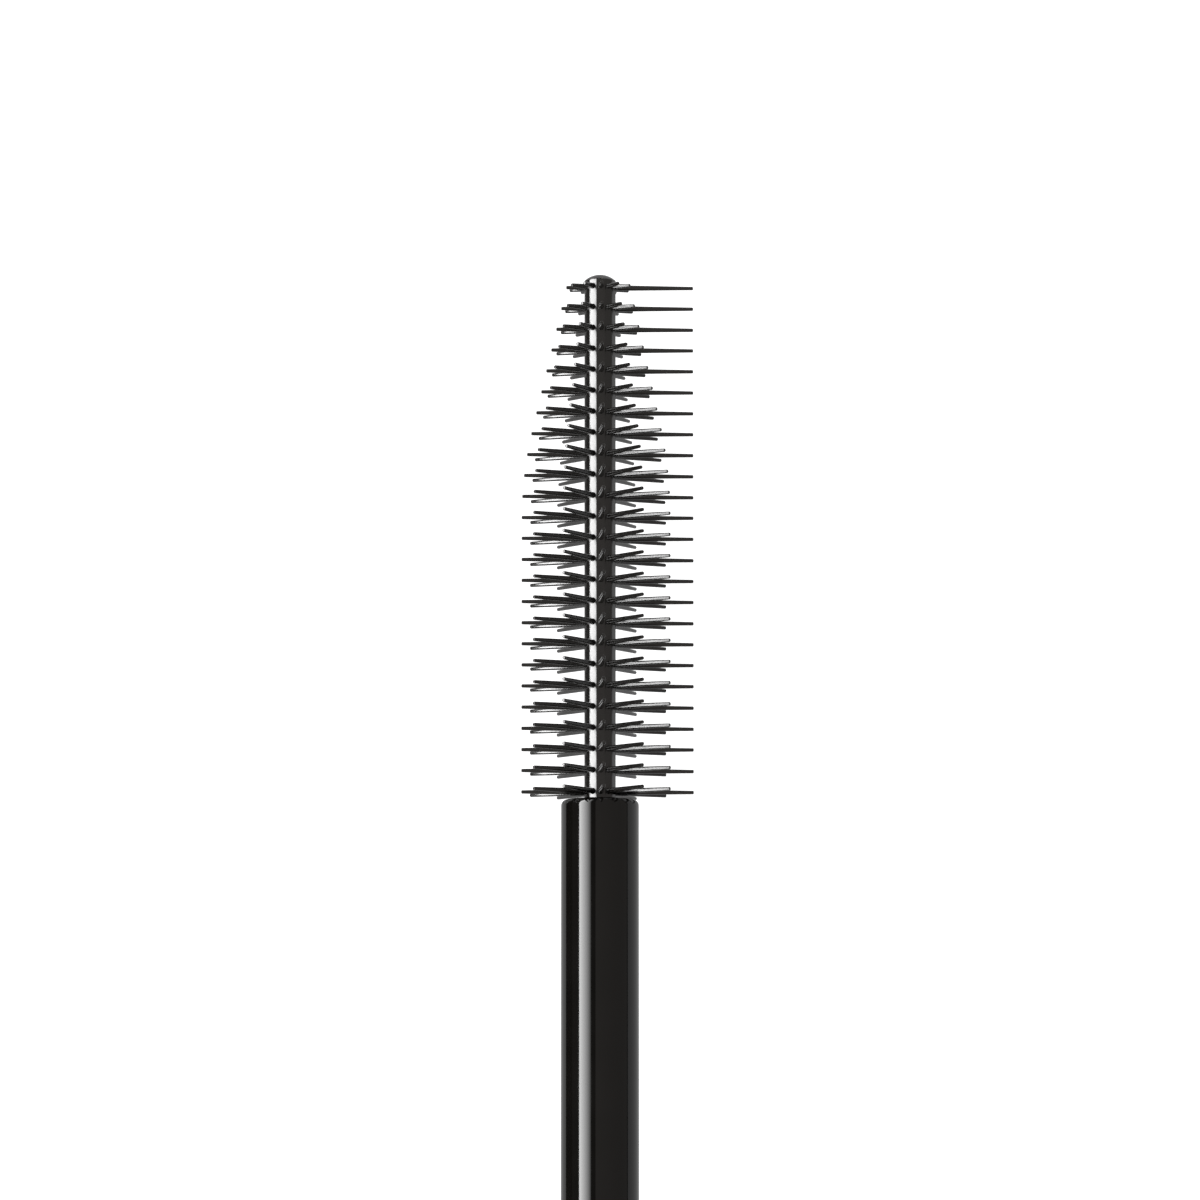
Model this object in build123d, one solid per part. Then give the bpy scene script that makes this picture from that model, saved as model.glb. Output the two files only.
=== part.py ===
"""An opened screw-cap mascara: the tube lies on a table and its wand lies in line with it, drawn out.

Everything that turns or seats shares one axis, which runs along X.  Each piece is drawn where it
sits when the mascara is closed, at a distance "along" the axis from the sealing face, with +X
pointing from the cap towards the foot of the tube.  The wand is then drawn out by its real travel,
and the whole is laid on the table, z = 0, with the middle of its length over the origin.
"""
import os
from math import asin, cos, radians, sin

from build123d import *

os.makedirs("parts", exist_ok=True)

# ---------------------------------------------------------------- driving sizes, millimetres
# Outside of the tube and the cap
BODY_R = 8.75           # outside radius of the cap, the collar and the tube
CAP_LENGTH = 50.0       # whole cap, end face to open edge
EDGE_ROUND = 0.6        # rounding of the outer ends
PARTING_GAP = 0.25      # shadow line between the closed cap and the collar

# Wand
STEM_R = 2.0
STEM_BARE = 36.0        # stem that shows past the open edge of the cap
STEM_TIP_ROUND = 0.28
STEM_HEAD_R = 3.3
STEM_HEAD_T = 1.6
SOCKET_DEPTH = 9.0      # blind bore in the stem's tip that takes the brush tail

# Brush
CORE_R = 0.83           # axis to an edge of the core, which has one flat side for each column of bristles
TIERS = 25              # rings of bristles
COLUMNS = 12            # bristles in one ring
TIER_PITCH = 1.093
FIRST_TIER = 0.40       # stem tip to the middle of the first ring
TIP_BEYOND = 0.68       # last ring to the top of the domed tip
DOME_H = 0.34
BRISTLE_REACH = 4.05    # axis to bristle tip where the brush is widest
COMB_REACH = 4.83       # the one column that keeps its length all the way: the comb side
BRISTLE_ROOT_R = 0.155
BRISTLE_TIP_R = 0.09
BRISTLE_ROOT_DEEP = 0.2 # how far a bristle's root is sunk into the core
COMB_DRAWN_DEG = 182.8  # where the comb side points with the wand drawn out, from +Y towards +Z
TAPER_STEP = 0.258      # reach lost from ring to ring on the tapered end
TAPER_TIERS = 11        # rings over which the reach falls
TAPER_BLEND = 4.2       # rings over which the taper blends into the straight part
TAIL_R = 0.9
TAIL_LENGTH = 8.5
SNAP_BEAD = 0.16        # how far the tail's snap ring stands out
SNAP_WIDTH = 0.7
SNAP_FROM_END = 2.4     # snap ring to the tail's end
TAIL_LEAD_IN = 0.3

# Neck thread
THREAD_LEAD = 3.0
THREAD_HEIGHT = 0.65
THREAD_ROOT_W = 1.3
THREAD_CREST_W = 0.6
NECK_THREAD_DEG = 540.0     # length of the ridge on the neck
CAP_THREAD_DEG = 400.0      # length of the ridge in the cap
SCREW_TURN_DEG = 450.0      # turn from just engaged to tight
THREAD_PARTED_DEG = 10.0    # turn between the two ridges' ends when they have just parted
THREAD_START = 2.8          # sealing face to the start of the neck's ridge
FLANK_OFFSET = 1.0          # cap ridge behind neck ridge, centre to centre, with the flanks just clear
THREAD_CLEAR = 0.2          # crest to root, both ways
THREAD_BITE = 0.25          # how deep a ridge is sunk into its wall

# Tube
NECK_ROOT_R = 6.3
NECK_BORE_R = 5.25
SKIRT_REACH = 13.0      # sealing face to the cap's open edge, closed
SKIRT_RECESS = 0.2      # inner cap set back from the shell's edge
COLLAR_BAND = 2.4       # metal band that shows
COLLAR_FLANGE_T = 0.8
VIAL_WALL = 0.9
SLEEVE_WALL = 1.0
VIAL_FLOOR_T = 1.2
TIP_CLEAR = 2.0         # brush tip to the vial's floor, closed
VIAL_CORNER = 1.6       # rounding inside the vial's floor
NECK_CONE = 2.0         # length over which the neck bore opens into the vial
FOOT_T = 1.8
FOOT_PROUD = 0.2
FOOT_GROOVE_R = 5.6
FOOT_GROOVE_W = 0.4
FOOT_GROOVE_D = 0.15

# Wiper
WIPER_FLANGE_T = 0.6
WIPER_FLANGE_R = 6.15
WIPER_WALL = 0.65
WIPER_STRAIGHT = 7.0
WIPER_LENGTH = 12.6
WIPER_LIP_T = 0.5
WIPER_LIP_LAND = 0.6
WIPER_LEAD_IN = 0.35
WIPER_BEAD = 0.12
WIPER_BEAD_W = 0.8
WIPER_BEAD_AT = 4.0     # sealing face to the middle of the retaining bead

# Cap inside
SHELL_WALL = 0.9
SHELL_END_T = 1.6
INLAY_R = 6.9
INLAY_T = 0.5
INLAY_SET_BACK = 0.1
CEILING_T = 2.0
CHAMBER_WALL = 0.9
CHAMBER_LENGTH = 28.0
RIBS = 8
RIB_WIDTH = 1.0
WEIGHT_R = 5.6
WEIGHT_LENGTH = 18.0
WEIGHT_CHAMFER = 0.5
BOSS_R = 4.0
BOSS_WALL = 1.0

# Liner washer
LINER_T = 0.8
LINER_R = 6.1

# Clearances
GLUE_GAP = 0.03         # between pieces that are bonded or pressed
RUN_GAP = 0.05          # round a piece that slides or turns
LINER_BORE_GAP = 0.1
SEAL_GAP = 0.015        # each face of the liner when closed
LOOSE_GAP = 0.1

OPEN_GAP = 18.0         # brush tip to the sealing face, drawn out

# ---------------------------------------------------------------- sizes that follow
SCREW_ADVANCE = THREAD_LEAD * SCREW_TURN_DEG / 360
CEILING = -(LINER_T + 2 * SEAL_GAP)
CAP_END = SKIRT_REACH - CAP_LENGTH
STEM_TIP = SKIRT_REACH + STEM_BARE
BRUSH_LENGTH = FIRST_TIER + (TIERS - 1) * TIER_PITCH + TIP_BEYOND
BRUSH_TIP = STEM_TIP + BRUSH_LENGTH
NECK_LIP = WIPER_FLANGE_T
COLLAR_TOP = SKIRT_REACH + PARTING_GAP
COLLAR_FOOT = COLLAR_TOP + COLLAR_BAND
SHOULDER = COLLAR_TOP + COLLAR_FLANGE_T + GLUE_GAP
SLEEVE_BORE_R = BODY_R - SLEEVE_WALL
VIAL_R = SLEEVE_BORE_R - RUN_GAP
VIAL_BORE_R = VIAL_R - VIAL_WALL
VIAL_FLOOR = BRUSH_TIP + TIP_CLEAR
VIAL_END = VIAL_FLOOR + VIAL_FLOOR_T
FOOT_TOP = VIAL_END + RUN_GAP
FOOT_END = FOOT_TOP + FOOT_T
SLEEVE_END = FOOT_END - FOOT_PROUD
CAP_BORE_R = NECK_ROOT_R + THREAD_HEIGHT + THREAD_CLEAR
CAP_RIDGE_H = CAP_BORE_R - NECK_ROOT_R - THREAD_CLEAR
CAP_RIDGE_FROM_DEG = SCREW_TURN_DEG - CAP_THREAD_DEG - THREAD_PARTED_DEG
SHELL_BORE_R = BODY_R - SHELL_WALL
INNER_CAP_R = SHELL_BORE_R - GLUE_GAP
CHAMBER_BORE_R = WEIGHT_R + RUN_GAP
STEM_HEAD_TOP = CEILING - CEILING_T - STEM_HEAD_T
WEIGHT_FOOT = STEM_HEAD_TOP - LOOSE_GAP
WEIGHT_TOP = WEIGHT_FOOT - WEIGHT_LENGTH
TRAVEL = BRUSH_TIP + OPEN_GAP
DRAW_RANGE = TRAVEL - SCREW_ADVANCE
REST_MIN = CAP_END - TRAVEL
CENTRE = (REST_MIN + FOOT_END) / 2


# ---------------------------------------------------------------- helpers
def turned(*outline):
    """A solid of revolution about the axis, from (along, radius) points."""
    return revolve(make_face(Polyline(*outline, close=True)), Axis.X)


def rounded_at(solid, along, radius, size):
    """The solid with its circular edge at that place rounded."""
    edge = solid.edges().filter_by(GeomType.CIRCLE).filter_by(
        lambda e: abs(e.center().X - along) < 1e-4 and abs(e.radius - radius) < 1e-4
    )
    return fillet(edge, size)


def ridge(start, root_r, height, turn_from, turn_to):
    """A helical thread ridge on a wall of that radius; a negative height points inwards."""
    sign = 1 if height > 0 else -1
    sweep_deg = turn_to - turn_from
    root = root_r - sign * THREAD_BITE
    crest = root_r + height
    helix = Helix(THREAD_LEAD, THREAD_LEAD * sweep_deg / 360, root_r, direction=(1, 0, 0))
    helix = helix.rotate(Axis.X, -first_angle(helix) + turn_from)
    at = helix @ 0
    radial = Vector(0, at.Y, at.Z).normalized()
    half_root = THREAD_ROOT_W / 2 + THREAD_BITE * (THREAD_ROOT_W - THREAD_CREST_W) / 2 / abs(height)
    half_crest = THREAD_CREST_W / 2
    tangent_plane = Plane(origin=at, x_dir=radial, z_dir=radial.cross(Vector(1, 0, 0)))
    section = tangent_plane * make_face(
        Polyline(
            (root - root_r, -half_root),
            (crest - root_r, -half_crest),
            (crest - root_r, half_crest),
            (root - root_r, half_root),
            close=True,
        )
    )
    return Pos(start + THREAD_LEAD * turn_from / 360, 0, 0) * sweep(section, helix, is_frenet=True)


def first_angle(helix):
    """Where a helix about X starts, in degrees from +Y towards +Z."""
    at = helix @ 0
    return Vector(0, 1, 0).get_signed_angle(Vector(0, at.Y, at.Z), Vector(1, 0, 0))


def reach_at(tier):
    """Axis to bristle tip, counting rings from the stem: straight, then an easy taper to the tip."""
    into_taper = tier - (TIERS - 1 - TAPER_TIERS)
    if into_taper <= 0:
        return BRISTLE_REACH
    if into_taper < TAPER_BLEND:
        return BRISTLE_REACH - TAPER_STEP * into_taper**2 / (2 * TAPER_BLEND)
    return BRISTLE_REACH - TAPER_STEP * (into_taper - TAPER_BLEND / 2)


# ---------------------------------------------------------------- the tube
def vial():
    """Moulded inner bottle: screw neck, shoulder and cavity for the formula."""
    bead = WIPER_BEAD + GLUE_GAP
    bead_low = WIPER_BEAD_AT - WIPER_BEAD_W / 2
    bead_high = WIPER_BEAD_AT + WIPER_BEAD_W / 2
    bore_r = NECK_BORE_R
    body = turned(
        (NECK_LIP, bore_r),
        (NECK_LIP, NECK_ROOT_R),
        (SHOULDER, NECK_ROOT_R),
        (SHOULDER, VIAL_R),
        (VIAL_END, VIAL_R),
        (VIAL_END, 0),
        (VIAL_FLOOR, 0),
        (VIAL_FLOOR, VIAL_BORE_R),
        (SHOULDER + VIAL_WALL + NECK_CONE, VIAL_BORE_R),
        (SHOULDER + VIAL_WALL, bore_r),
        (bead_high, bore_r),
        (bead_high - bead, bore_r + bead),
        (bead_low + bead, bore_r + bead),
        (bead_low, bore_r),
    )
    body = rounded_at(body, VIAL_FLOOR, VIAL_BORE_R, VIAL_CORNER)
    body = rounded_at(body, VIAL_END, VIAL_R, VIAL_CORNER / 2)
    return body + ridge(THREAD_START, NECK_ROOT_R, THREAD_HEIGHT, 0, NECK_THREAD_DEG)


def outer_sleeve():
    """Lacquered outer tube over the vial."""
    sleeve = turned(
        (COLLAR_FOOT, SLEEVE_BORE_R),
        (COLLAR_FOOT, BODY_R),
        (SLEEVE_END, BODY_R),
        (SLEEVE_END, SLEEVE_BORE_R),
    )
    return rounded_at(sleeve, SLEEVE_END, BODY_R, EDGE_ROUND)


def collar():
    """Metal band at the shoulder."""
    inner = NECK_ROOT_R + LOOSE_GAP
    band = turned(
        (COLLAR_TOP, inner),
        (COLLAR_TOP, BODY_R),
        (COLLAR_FOOT - GLUE_GAP, BODY_R),
        (COLLAR_FOOT - GLUE_GAP, SLEEVE_BORE_R),
        (COLLAR_TOP + COLLAR_FLANGE_T, SLEEVE_BORE_R),
        (COLLAR_TOP + COLLAR_FLANGE_T, inner),
    )
    return rounded_at(band, COLLAR_TOP, BODY_R, EDGE_ROUND / 4)


def foot_plug():
    """Disc that closes the foot of the sleeve and carries the standing tube."""
    groove_in = FOOT_GROOVE_R - FOOT_GROOVE_W / 2
    groove_out = FOOT_GROOVE_R + FOOT_GROOVE_W / 2
    rim = SLEEVE_BORE_R - GLUE_GAP
    plug = turned(
        (FOOT_TOP, 0),
        (FOOT_TOP, rim),
        (FOOT_END, rim),
        (FOOT_END, groove_out),
        (FOOT_END - FOOT_GROOVE_D, groove_out),
        (FOOT_END - FOOT_GROOVE_D, groove_in),
        (FOOT_END, groove_in),
        (FOOT_END, 0),
    )
    return rounded_at(plug, FOOT_END, rim, FOOT_PROUD)


def wiper():
    """Soft insert whose lip strips the stem."""
    outer = NECK_BORE_R - GLUE_GAP
    inner = outer - WIPER_WALL
    lip_r = STEM_R + RUN_GAP
    bead_low = WIPER_BEAD_AT - WIPER_BEAD_W / 2
    bead_high = WIPER_BEAD_AT + WIPER_BEAD_W / 2
    return turned(
        (0, inner + WIPER_LEAD_IN),
        (0, WIPER_FLANGE_R),
        (WIPER_FLANGE_T, WIPER_FLANGE_R),
        (WIPER_FLANGE_T, outer),
        (bead_low, outer),
        (bead_low + WIPER_BEAD, outer + WIPER_BEAD),
        (bead_high - WIPER_BEAD, outer + WIPER_BEAD),
        (bead_high, outer),
        (WIPER_STRAIGHT + WIPER_WALL, outer),
        (WIPER_LENGTH, lip_r + WIPER_LIP_T),
        (WIPER_LENGTH, lip_r),
        (WIPER_LENGTH - WIPER_LIP_LAND, lip_r),
        (WIPER_STRAIGHT, inner),
        (WIPER_LEAD_IN, inner),
    )


# ---------------------------------------------------------------- the cap
def cap_shell():
    """Outer shell of the cap: a thin tube with a closed end and a boss that holds the weight down."""
    shell = turned(
        (CAP_END, INLAY_R + GLUE_GAP),
        (CAP_END, BODY_R),
        (SKIRT_REACH, BODY_R),
        (SKIRT_REACH, SHELL_BORE_R),
        (CAP_END + SHELL_END_T, SHELL_BORE_R),
        (CAP_END + SHELL_END_T, BOSS_R),
        (WEIGHT_TOP - LOOSE_GAP, BOSS_R),
        (WEIGHT_TOP - LOOSE_GAP, BOSS_R - BOSS_WALL),
        (CAP_END + SHELL_END_T, BOSS_R - BOSS_WALL),
        (CAP_END + SHELL_END_T, 0),
        (CAP_END + INLAY_T + INLAY_SET_BACK, 0),
        (CAP_END + INLAY_T + INLAY_SET_BACK, INLAY_R + GLUE_GAP),
    )
    shell = rounded_at(shell, CAP_END, BODY_R, EDGE_ROUND)
    return rounded_at(shell, SKIRT_REACH, BODY_R, EDGE_ROUND / 4)


def cap_inlay():
    """Thin metal disc set in the end of the cap."""
    outer_face = CAP_END + INLAY_SET_BACK
    disc = turned(
        (outer_face, 0),
        (outer_face, INLAY_R),
        (outer_face + INLAY_T - GLUE_GAP, INLAY_R),
        (outer_face + INLAY_T - GLUE_GAP, 0),
    )
    return rounded_at(disc, outer_face, INLAY_R, INLAY_SET_BACK)


def inner_cap():
    """Threaded liner of the cap, with the stem's seat and a ribbed chamber for the weight."""
    chamber_r = CHAMBER_BORE_R + CHAMBER_WALL
    chamber_floor = CEILING - CEILING_T
    chamber_end = chamber_floor - CHAMBER_LENGTH
    hole_r = STEM_R + GLUE_GAP
    body = turned(
        (chamber_end, CHAMBER_BORE_R),
        (chamber_end, chamber_r),
        (chamber_floor, chamber_r),
        (chamber_floor, INNER_CAP_R),
        (SKIRT_REACH - SKIRT_RECESS, INNER_CAP_R),
        (SKIRT_REACH - SKIRT_RECESS, CAP_BORE_R),
        (CEILING, CAP_BORE_R),
        (CEILING, hole_r),
        (chamber_floor, hole_r),
        (chamber_floor, CHAMBER_BORE_R),
    )
    rib_from = chamber_r - CHAMBER_WALL / 2
    rib = Box(CHAMBER_LENGTH, INNER_CAP_R - rib_from, RIB_WIDTH)
    rib = Pos((chamber_end + chamber_floor) / 2, (INNER_CAP_R + rib_from) / 2, 0) * rib
    keep = turned(
        (chamber_end, 0),
        (chamber_end, INNER_CAP_R),
        (chamber_floor, INNER_CAP_R),
        (chamber_floor, 0),
    )
    for n in range(RIBS):
        body += (rib & keep).rotate(Axis.X, n * 360 / RIBS)
    ridge_to = CAP_RIDGE_FROM_DEG + CAP_THREAD_DEG
    return body + ridge(THREAD_START + FLANK_OFFSET, CAP_BORE_R, -CAP_RIDGE_H, CAP_RIDGE_FROM_DEG, ridge_to)


def cap_weight():
    """Steel slug that gives the cap its heft."""
    slug = turned(
        (WEIGHT_TOP, 0),
        (WEIGHT_TOP, WEIGHT_R),
        (WEIGHT_FOOT, WEIGHT_R),
        (WEIGHT_FOOT, 0),
    )
    return chamfer(slug.edges().filter_by(GeomType.CIRCLE), WEIGHT_CHAMFER)


def liner_washer():
    """Loose sealing washer round the stem."""
    return turned(
        (-SEAL_GAP - LINER_T, STEM_R + LINER_BORE_GAP),
        (-SEAL_GAP - LINER_T, LINER_R),
        (-SEAL_GAP, LINER_R),
        (-SEAL_GAP, STEM_R + LINER_BORE_GAP),
    )


# ---------------------------------------------------------------- the wand
def snap_ring(gap):
    """(along, radius) points of the tail's snap ring, or of its groove in the socket with a gap all round."""
    end = STEM_TIP - TAIL_LENGTH
    middle = end + SNAP_FROM_END
    r = TAIL_R + gap
    return [
        (middle - SNAP_WIDTH / 2 - SNAP_BEAD, r),
        (middle - SNAP_WIDTH / 2, r + SNAP_BEAD),
        (middle + SNAP_WIDTH / 2, r + SNAP_BEAD),
        (middle + SNAP_WIDTH / 2 + SNAP_BEAD, r),
    ]


def stem():
    """Moulded rod: a head seated in the inner cap and a socket for the brush."""
    socket_end = STEM_TIP - SOCKET_DEPTH
    rod = turned(
        (STEM_HEAD_TOP, 0),
        (STEM_HEAD_TOP, STEM_HEAD_R),
        (STEM_HEAD_TOP + STEM_HEAD_T, STEM_HEAD_R),
        (STEM_HEAD_TOP + STEM_HEAD_T, STEM_R),
        (STEM_TIP, STEM_R),
        (STEM_TIP, TAIL_R + GLUE_GAP),
        *reversed(snap_ring(GLUE_GAP)),
        (socket_end, TAIL_R + GLUE_GAP),
        (socket_end, 0),
    )
    return rounded_at(rod, STEM_TIP, STEM_R, STEM_TIP_ROUND)


def column_deg(column):
    """Where a column of bristles points with the mascara closed, from +Y towards +Z."""
    return COMB_DRAWN_DEG + SCREW_TURN_DEG + column * 360 / COLUMNS


def bristle(column, tier):
    """One tapered bristle, rooted inside the core."""
    reach = COMB_REACH if column == 0 else reach_at(tier)
    root_at = CORE_R * cos(radians(180 / COLUMNS)) - BRISTLE_ROOT_DEEP
    cone = Cone(BRISTLE_ROOT_R, BRISTLE_TIP_R, reach - root_at, align=(Align.CENTER, Align.CENTER, Align.MIN))
    angle = radians(column_deg(column))
    at = STEM_TIP + FIRST_TIER + tier * TIER_PITCH
    outwards = Vector(0, cos(angle), sin(angle))
    return Plane(origin=Vector(at, 0, 0) + outwards * root_at, z_dir=outwards) * cone


def brush_tail():
    """Round tail with a snap ring, held in the stem's socket."""
    end = STEM_TIP - TAIL_LENGTH
    return turned(
        (STEM_TIP - GLUE_GAP, 0),
        (end, 0),
        (end, TAIL_R - TAIL_LEAD_IN),
        (end + TAIL_LEAD_IN, TAIL_R),
        *snap_ring(0),
        (STEM_TIP - GLUE_GAP, TAIL_R),
    )


def brush_core():
    """Flat-sided core with a domed tip."""
    foot = STEM_TIP - GLUE_GAP
    dome_foot = BRUSH_TIP - DOME_H
    dome_r = (CORE_R**2 + DOME_H**2) / (2 * DOME_H)
    half_way = asin(CORE_R / dome_r) / 2
    half_way_point = (BRUSH_TIP - dome_r + dome_r * cos(half_way), dome_r * sin(half_way))
    dome = ThreePointArc((dome_foot, CORE_R), half_way_point, (BRUSH_TIP, 0))
    outline = Polyline((BRUSH_TIP, 0), (foot, 0), (foot, CORE_R), (dome_foot, CORE_R))
    domed_rod = revolve(make_face([outline, dome]), Axis.X)
    polygon = RegularPolygon(CORE_R, COLUMNS, rotation=column_deg(0.5))
    prism = Pos(foot, 0, 0) * extrude(Plane.YZ * polygon, BRUSH_TIP - foot)
    return domed_rod & prism


def brush():
    """One-piece moulded brush: core, rings of bristles and a snap-in tail."""
    bristles = [bristle(c, t) for t in range(TIERS) for c in range(COLUMNS)]
    return (brush_tail() + brush_core()).fuse(*bristles)


# ---------------------------------------------------------------- placing and writing
def write(shape, name, drawn, unscrewed=0):
    """Writes one piece where it lies with the wand drawn out by that much and turned back by that much."""
    placed = Pos(-drawn - CENTRE, 0, BODY_R) * shape.rotate(Axis.X, -unscrewed)
    export_step(placed, f"parts/{name}.step")


TUBE_PIECES = {
    "vial": vial,
    "outer_sleeve": outer_sleeve,
    "shoulder_collar": collar,
    "foot_plug": foot_plug,
    "wiper": wiper,
}
WAND_PIECES = {
    "cap_shell": cap_shell,
    "cap_inlay": cap_inlay,
    "inner_cap": inner_cap,
    "cap_weight": cap_weight,
    "stem": stem,
    "brush": brush,
}

for name, make in TUBE_PIECES.items():
    write(make(), name, 0)
write(liner_washer(), "liner_washer", DRAW_RANGE)
for name, make in WAND_PIECES.items():
    write(make(), name, TRAVEL, SCREW_TURN_DEG)

print("draw range", round(DRAW_RANGE, 3), "screw advance", round(SCREW_ADVANCE, 3))
print("closed length", round(FOOT_END - CAP_END, 2), "open length", round(FOOT_END - REST_MIN, 2))
print("centre of the length, from the sealing face", round(CENTRE, 3))
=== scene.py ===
# %% [markdown]
# # An opened mascara, made piece by piece
# A screw-cap mascara lies open on a table: its tube, and in line with it the wand that was drawn
# out of the neck.  The CAD frame already holds every piece at its real size and place, so this
# lesson only makes the surfaces that the eye sees: finely turned shells, a moulded brush of 300
# bristles, screw threads, and a finish for each kind of plastic and metal.

# %% Load the frame and keep its box
import random
from math import atan2, cos, pi, radians, sin, sqrt, tan, tau

import bmesh
import bpy
from mathutils import Matrix, Vector


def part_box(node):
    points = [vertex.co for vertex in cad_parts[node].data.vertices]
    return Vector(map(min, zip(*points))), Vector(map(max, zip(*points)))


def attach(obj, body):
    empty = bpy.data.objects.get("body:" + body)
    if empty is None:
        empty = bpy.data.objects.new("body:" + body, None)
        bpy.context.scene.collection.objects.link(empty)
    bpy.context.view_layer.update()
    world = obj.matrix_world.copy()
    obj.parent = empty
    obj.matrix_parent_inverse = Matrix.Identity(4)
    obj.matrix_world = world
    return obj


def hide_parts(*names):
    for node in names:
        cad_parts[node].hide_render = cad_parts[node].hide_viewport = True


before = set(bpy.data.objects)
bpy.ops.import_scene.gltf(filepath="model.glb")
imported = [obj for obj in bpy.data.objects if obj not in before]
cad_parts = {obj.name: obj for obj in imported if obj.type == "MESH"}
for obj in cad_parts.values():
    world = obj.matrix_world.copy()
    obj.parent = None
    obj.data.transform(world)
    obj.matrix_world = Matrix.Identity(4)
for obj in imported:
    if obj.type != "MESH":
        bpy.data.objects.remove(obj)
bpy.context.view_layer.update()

# %% [markdown]
# ## Working along one axis
# Nearly every piece of a mascara is round about one line, so the whole lesson works in two
# numbers: how far along the axis, and how far from it, both in millimetres.  The frame's boxes
# give each node's two ends and its outer radius, and nothing is placed by eye.

# %% Places and radii from the frame
MM = 0.001
AXIS_HEIGHT = sum(corner.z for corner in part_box("cap_shell")) / 2


def ends(node):
    """Where a node begins and ends along the axis, in millimetres."""
    low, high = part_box(node)
    return low.x / MM, high.x / MM


def outer_radius(node):
    """The outer radius of a round node, in millimetres."""
    low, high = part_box(node)
    return (high.y - low.y) / 2 / MM


def on_axis(x, y, z):
    """A point given in millimetres from the axis, in metres in the frame."""
    return (x * MM, y * MM, AXIS_HEIGHT + z * MM)


for node in sorted(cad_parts):
    print(node, [round(v, 2) for v in ends(node)], "radius", round(outer_radius(node), 2))

# %% [markdown]
# ## Corners that catch the light
# No moulded or turned edge is perfectly sharp, and it is the small rounding that draws the bright
# line along a rim.  A Bevel modifier could round the edges afterwards, but a turned piece is fully
# described by its outline, so it is simpler to round the outline's corners first.  A holding point
# beside each arc keeps the smooth shading of the arc from bleeding over the long flat wall.

# %% Round an outline's corners
ARC_STEPS = 6       # straight pieces in each rounded corner
HOLD = 0.05         # arc to its holding point, mm
MOULDED_EDGE = 0.1  # rounding of an ordinary edge of a moulding, mm
SHEET_EDGE = 0.05   # of a cut or rolled edge
TURNED_EDGE = 0.04  # of a chamfer's corner, fresh from the lathe


def softened(outline, closed):
    """Turns (x, radius, rounding) corners into plain points, with arcs where rounding isn't 0."""
    points = []
    for i, (x, r, rounding) in enumerate(outline):
        here = Vector((x, r))
        if rounding == 0 or (not closed and i in (0, len(outline) - 1)):
            points.append(here)
            continue
        back = (Vector(outline[i - 1][:2]) - here).normalized()
        ahead = (Vector(outline[(i + 1) % len(outline)][:2]) - here).normalized()
        half = back.angle(ahead) / 2
        reach = rounding / tan(half)
        centre = here + (back + ahead).normalized() * rounding / sin(half)
        first, last = here + back * reach - centre, here + ahead * reach - centre
        start = atan2(first.y, first.x)
        turn = (atan2(last.y, last.x) - start + pi) % tau - pi
        points.append(here + back * (reach + HOLD))
        for step in range(ARC_STEPS + 1):
            angle = start + turn * step / ARC_STEPS
            points.append(centre + Vector((cos(angle), sin(angle))) * rounding)
        points.append(here + ahead * (reach + HOLD))
    return points


print("a 1 mm square corner becomes", len(softened([(0, 0, 0), (0, 1, .2), (1, 1, 0)], False)), "points")

# %% [markdown]
# ## The lathe
# On the real object these pieces come out of round moulds or off a lathe.  Blender's Screw
# modifier would spin an outline too, but writing the rings ourselves lets a wall carry a relief:
# a small change of radius that depends on where the point is, which is how the threads and the
# hidden ribs are made without a single boolean.

# %% Spin an outline into a mesh
AROUND = 192        # points in each turned ring
SAME = 1e-6         # two radii closer than this are the same wall, mm


def show(name, mesh, body, replaced, sharp_over=40):
    """Makes the finished object, which moves with a body and stands for a CAD node."""
    made = bpy.data.objects.new(name, mesh)
    bpy.context.scene.collection.objects.link(made)
    mesh.shade_smooth()
    mesh.set_sharp_from_angle(angle=radians(sharp_over))
    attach(made, body)
    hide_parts(replaced)
    print(name, len(mesh.vertices), "points,", len(mesh.polygons), "faces")
    return made


def turned(name, outline, body, replaced, closed=True, relief=None):
    """Spins an outline about the axis; relief(x, r, angle) gives a new radius."""
    form = bmesh.new()
    rings = []
    for x, r in softened(outline, closed):
        if r < SAME:
            rings.append([form.verts.new(on_axis(x, 0, 0))] * AROUND)
            continue
        ring = []
        for i in range(AROUND):
            angle = tau * i / AROUND
            radius = relief(x, r, angle) if relief else r
            ring.append(form.verts.new(on_axis(x, radius * cos(angle), radius * sin(angle))))
        rings.append(ring)
    pairs = list(zip(rings, rings[1:]))
    if closed:
        pairs.append((rings[-1], rings[0]))
    for ring, following in pairs:
        for i in range(AROUND):
            j = (i + 1) % AROUND
            corners = dict.fromkeys([ring[i], ring[j], following[j], following[i]])
            if len(corners) > 2:
                form.faces.new(list(corners))
    bmesh.ops.recalc_face_normals(form, faces=form.faces)
    mesh = bpy.data.meshes.new(name)
    form.to_mesh(mesh)
    form.free()
    return show(name, mesh, body, replaced)


# %% [markdown]
# ## The cap
# The cap is a thin injection-moulded shell with a closed end, lacquered outside.  Only its outside,
# its rim and the recess in its end are ever seen, but a real shell also has the short tube inside
# that keeps the weight from rattling, so that is part of the outline as well.

# %% Cap shell
BODY_R = outer_radius("cap_shell")
CAP_END, CAP_RIM = ends("cap_shell")
SHELL_WALL = 0.9
SHELL_END = 1.6
EDGE_ROUND = 0.6
RIM_ROUND = 0.15
CORNER_INSIDE = 0.4     # rounding in the closed end's corner
PRESS_GAP = 0.03        # between pieces that are pressed or glued together
INLAY_R = outer_radius("cap_inlay")
INLAY_SEAT = ends("cap_inlay")[1] + PRESS_GAP
BOSS_R, BOSS_WALL = 4.0, 1.0
BOSS_FOOT = 0.2         # rounding where the boss meets the closed end
LOOSE_GAP = 0.1         # round a piece that lies loose
BOSS_END = ends("cap_weight")[0] - LOOSE_GAP

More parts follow.
